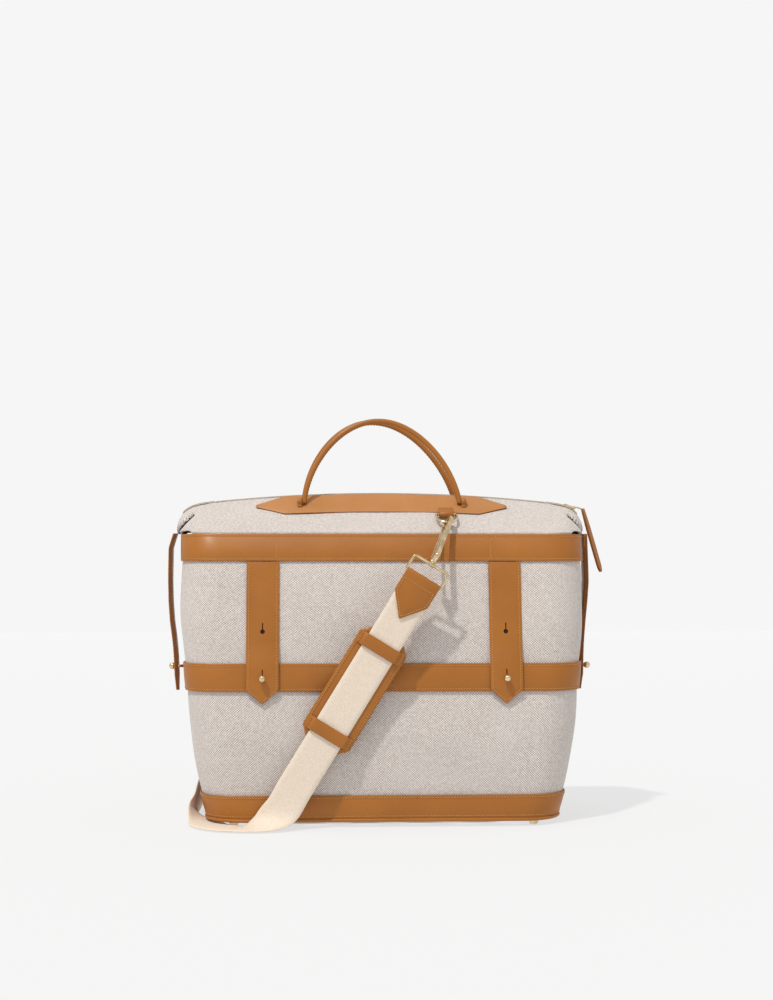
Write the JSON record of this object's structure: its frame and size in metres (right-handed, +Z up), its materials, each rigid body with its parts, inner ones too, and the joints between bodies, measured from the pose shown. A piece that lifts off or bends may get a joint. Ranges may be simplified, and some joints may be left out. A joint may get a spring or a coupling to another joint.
{
  "type": "doctor bag",
  "caption": "Soft canvas doctor bag with leather trim, a zipped mouth under two arched handles, buttoned straps and a clip-on padded shoulder strap.",
  "frame": {"origin": "on the floor, under the middle of the bag's box, which its studs and zip pull widen; the middle of the base is at X -0.007, Y 0.0055", "axes": "+Z up, front towards -Y, +X to the right seen from the front, along the bag's length"},
  "size_m": [0.4924, 0.2835, 0.447],
  "materials": {
    "canvas": "oatmeal and white woven canvas, matt",
    "lining": "plain matt cotton",
    "board": "stiff fibre board, matt",
    "leather": "vegetable tanned, satin, stitched edges",
    "webbing": "ribbed cotton webbing, matt",
    "zip": "woven zip tape",
    "gold": "polished pale gold"
  },
  "bodies": {
    "bag": {"front_panel": "canvas", "rear_panel": "canvas", "left_gusset": "canvas", "right_gusset": "canvas", "bottom_panel": "canvas", "base_board": "board", "lining": "lining", "base_band": "leather", "lower_belt": "leather", "front_upper_belt": "leather", "rear_upper_belt": "leather", "front_left_foot": "gold", "front_right_foot": "gold", "rear_left_foot": "gold", "rear_right_foot": "gold", "front_top_panel": "canvas", "front_zip_tape": "zip", "left_ear": "canvas", "right_ear": "canvas", "zip_slider": "gold", "front_handle_plate": "leather", "front_left_handle_loop": "leather", "front_right_handle_loop": "leather", "left_front_stud": "gold", "left_side_strap_anchor": "leather", "left_side_stud": "gold", "right_front_stud": "gold", "right_side_strap_anchor": "leather", "right_side_stud": "gold", "front_ring_tab": "leather", "front_square_ring": "gold", "front_strap_end": "leather", "rear_ring_tab": "leather", "rear_square_ring": "gold", "rear_strap_end": "leather", "shoulder_webbing": "webbing"},
    "rear_flap": {"rear_top_panel": "canvas", "rear_zip_tape": "zip", "rear_handle_plate": "leather", "rear_left_handle_loop": "leather", "rear_right_handle_loop": "leather"},
    "front_handle": {"front_handle": "leather"},
    "rear_handle": {"rear_handle": "leather"},
    "left_front_strap": {"left_front_strap": "leather"},
    "right_front_strap": {"right_front_strap": "leather"},
    "left_side_strap": {"left_side_strap": "leather"},
    "right_side_strap": {"right_side_strap": "leather"},
    "zip_pull": {"zip_pull": "leather"},
    "front_d_ring": {"front_d_ring": "gold"},
    "rear_d_ring": {"rear_d_ring": "gold"},
    "front_snap_hook": {"front_snap_hook": "gold"},
    "rear_snap_hook": {"rear_snap_hook": "gold"},
    "front_hook_gate": {"front_hook_gate": "gold"},
    "rear_hook_gate": {"rear_hook_gate": "gold"},
    "shoulder_pad": {"shoulder_pad": "leather", "upper_pad_bridge": "leather", "lower_pad_bridge": "leather"}
  },
  "joints": [
    {"name": "mouth_flap", "type": "hinge", "parent": "bag", "child": "rear_flap", "pos_m": [-0.007, 0.066, 0.3162], "axis": [-1, 0, 0], "range_deg": [0, 95]},
    {"name": "front_handle_swing", "type": "hinge", "parent": "bag", "child": "front_handle", "pos_m": [-0.007, -0.01996, 0.35114], "axis": [1, 0, 0], "range_deg": [-6, 80]},
    {"name": "rear_handle_swing", "type": "hinge", "parent": "rear_flap", "child": "rear_handle", "pos_m": [-0.007, 0.03096, 0.35114], "axis": [-1, 0, 0], "range_deg": [-6, 80]},
    {"name": "left_front_strap_lift", "type": "hinge", "parent": "bag", "child": "left_front_strap", "pos_m": [-0.138, -0.073, 0.282], "axis": [-1, 0, 0], "range_deg": [0, 100]},
    {"name": "right_front_strap_lift", "type": "hinge", "parent": "bag", "child": "right_front_strap", "pos_m": [0.124, -0.073, 0.282], "axis": [-1, 0, 0], "range_deg": [0, 100]},
    {"name": "left_side_strap_lift", "type": "hinge", "parent": "bag", "child": "left_side_strap", "pos_m": [-0.2393, 0.0055, 0.2585], "axis": [0, 1, 0], "range_deg": [0, 80]},
    {"name": "right_side_strap_lift", "type": "hinge", "parent": "bag", "child": "right_side_strap", "pos_m": [0.2253, 0.0055, 0.2585], "axis": [0, -1, 0], "range_deg": [0, 80]},
    {"name": "zip_pull_swing", "type": "hinge", "parent": "bag", "child": "zip_pull", "pos_m": [0.2235, 0.0055, 0.344], "axis": [0, -1, 0], "range_deg": [0, 150]},
    {"name": "front_d_ring_swing", "type": "hinge", "parent": "bag", "child": "front_d_ring", "pos_m": [0.0636, -0.0401, 0.3364], "axis": [1, 0, 0], "range_deg": [-1.5, 1.5]},
    {"name": "rear_d_ring_swing", "type": "hinge", "parent": "bag", "child": "rear_d_ring", "pos_m": [-0.077, 0.096, 0.2772], "axis": [1, 0, 0], "range_deg": [-1.5, 1.5]},
    {"name": "front_hook_swivel", "type": "hinge", "parent": "bag", "child": "front_snap_hook", "pos_m": [0.04211, -0.1125, 0.28083], "axis": [0.2857, 0.7338, 0.6164], "range_deg": [-3, 3]},
    {"name": "rear_hook_swivel", "type": "hinge", "parent": "bag", "child": "rear_snap_hook", "pos_m": [-0.077, 0.1175, 0.186], "axis": [0, -0.2489, 0.9685], "range_deg": [-3, 3]},
    {"name": "front_gate_spring", "type": "hinge", "parent": "front_snap_hook", "child": "front_hook_gate", "pos_m": [0.04384, -0.09638, 0.28842], "axis": [0.7795, 0.1963, -0.5948], "range_deg": [0, 8], "stiffness_Nm_per_rad": 0.01},
    {"name": "rear_gate_spring", "type": "hinge", "parent": "rear_snap_hook", "child": "rear_hook_gate", "pos_m": [-0.07374, 0.10886, 0.20133], "axis": [-0.8134, -0.5634, -0.1448], "range_deg": [0, 8], "stiffness_Nm_per_rad": 0.01},
    {"name": "pad_slide", "type": "slide", "parent": "bag", "child": "shoulder_pad", "axis": [0.5235, 0, 0.852], "range_m": [-0.05, 0.018]}
  ]
}
